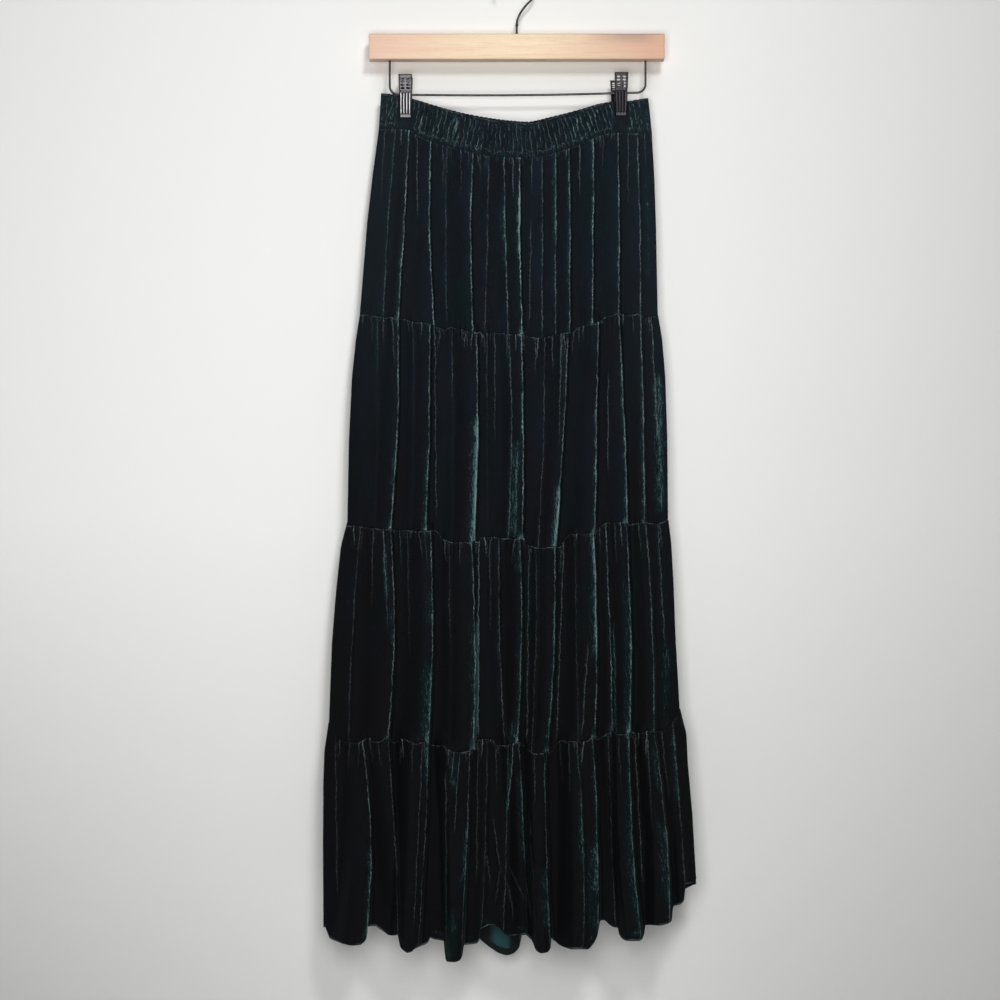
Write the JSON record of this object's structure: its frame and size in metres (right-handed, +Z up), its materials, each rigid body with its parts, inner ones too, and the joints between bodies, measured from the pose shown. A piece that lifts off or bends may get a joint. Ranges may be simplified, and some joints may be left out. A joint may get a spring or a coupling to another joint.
{
  "type": "tiered maxi skirt on a clip hanger",
  "caption": "Long gathered skirt of velvet in four tiers with an elastic waistband, hanging from the two clips of a wooden hanger.",
  "frame": {"origin": "inside top of the hanger's hook, where it hangs on a rail or peg", "axes": "+Z up, -Y the skirt's front, +X to the right as the front is looked at"},
  "size_m": [0.4492, 0.1317, 1.1863],
  "materials": {
    "velvet": "dark green pile velvet with a pale sheen where it turns away",
    "wood": "pale clear-lacquered beech",
    "wire": "dark nickel-plated wire",
    "clip_metal": "gunmetal-plated pressed steel"
  },
  "bodies": {
    "root": {"waistband_front": "velvet", "waistband_back": "velvet", "tier_1_front": "velvet", "tier_1_back": "velvet", "tier_2_front": "velvet", "tier_2_back": "velvet", "tier_3_front": "velvet", "tier_3_back": "velvet", "tier_4_front": "velvet", "tier_4_back": "velvet", "hanger_bar": "wood", "hanger_hook": "wire", "hanger_bail": "wire", "clip_left_front": "clip_metal", "clip_left_back": "clip_metal", "clip_right_front": "clip_metal", "clip_right_back": "clip_metal"}
  },
  "joints": []
}
